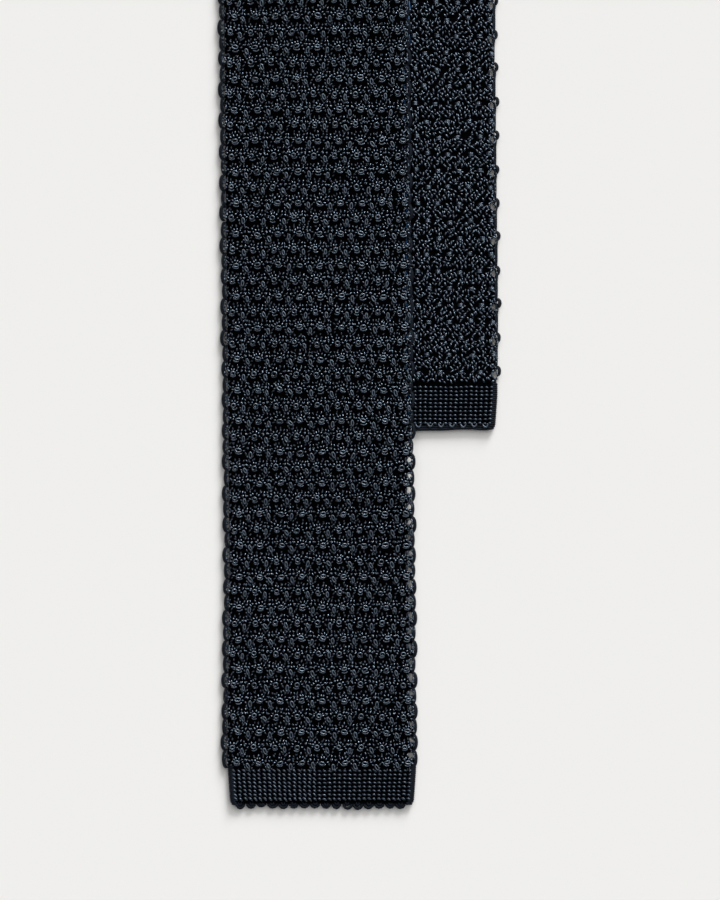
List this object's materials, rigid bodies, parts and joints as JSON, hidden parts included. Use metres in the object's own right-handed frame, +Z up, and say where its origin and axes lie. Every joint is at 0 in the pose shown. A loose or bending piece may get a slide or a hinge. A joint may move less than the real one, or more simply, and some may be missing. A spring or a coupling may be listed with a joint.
{
  "type": "knit necktie",
  "caption": "Square-ended dark navy silk knit tie, folded at the neck, the wide front blade laid over the offset tail",
  "frame": {"origin": "on the resting surface, under the middle of the folded tie", "axes": "+X across the tie towards the side the tail shows on, +Y along it towards the neck fold, +Z up from the surface it lies on"},
  "size_m": [0.0944, 0.797, 0.0082],
  "materials": {
    "silk_knit": "openwork silk knit, soft sheen",
    "silk_band_knit": "plain fine silk knit, soft sheen",
    "navy_thread": "sewing thread, satin",
    "blue_thread": "sewing thread, satin",
    "neck_tape": "ribbed woven tape, matt",
    "woven_label": "plain woven label cloth, matt"
  },
  "bodies": {
    "neck": {"neck_knit": "silk_knit", "neck_fold_knit": "silk_knit", "neck_fold_tape": "neck_tape", "neck_seam_thread": "navy_thread", "neck_tape_back": "neck_tape"},
    "tail": {"tail_blade_knit": "silk_knit", "tail_end_band": "silk_band_knit", "tail_seam_thread": "blue_thread", "tail_hem_thread": "navy_thread"},
    "front_upper": {"front_upper_knit": "silk_knit", "front_upper_seam_thread": "navy_thread", "neck_tape_front": "neck_tape"},
    "front_lower": {"front_blade_knit": "silk_knit", "front_end_band": "silk_band_knit", "front_seam_thread": "navy_thread", "front_hem_thread": "navy_thread", "keeper_loop": "woven_label", "keeper_stitches_left": "navy_thread", "keeper_stitches_right": "navy_thread", "care_label": "woven_label", "care_label_stitches": "navy_thread"}
  },
  "joints": [
    {"name": "tail_swing", "type": "hinge", "parent": "neck", "child": "tail", "pos_m": [0.019, 0.2605, 0], "axis": [0, 0, 1], "range_deg": [0, 12]},
    {"name": "neck_fold", "type": "hinge", "parent": "neck", "child": "front_upper", "pos_m": [0, 0.39527, 0.00323], "axis": [1, 0, 0], "range_deg": [-180, 0], "deforming": ["neck_fold_knit", "neck_fold_tape"]},
    {"name": "blade_fold", "type": "hinge", "parent": "front_upper", "child": "front_lower", "pos_m": [-0.01425, 0.0095, 0.00675], "axis": [-1, 0, 0], "range_deg": [0, 175]}
  ]
}
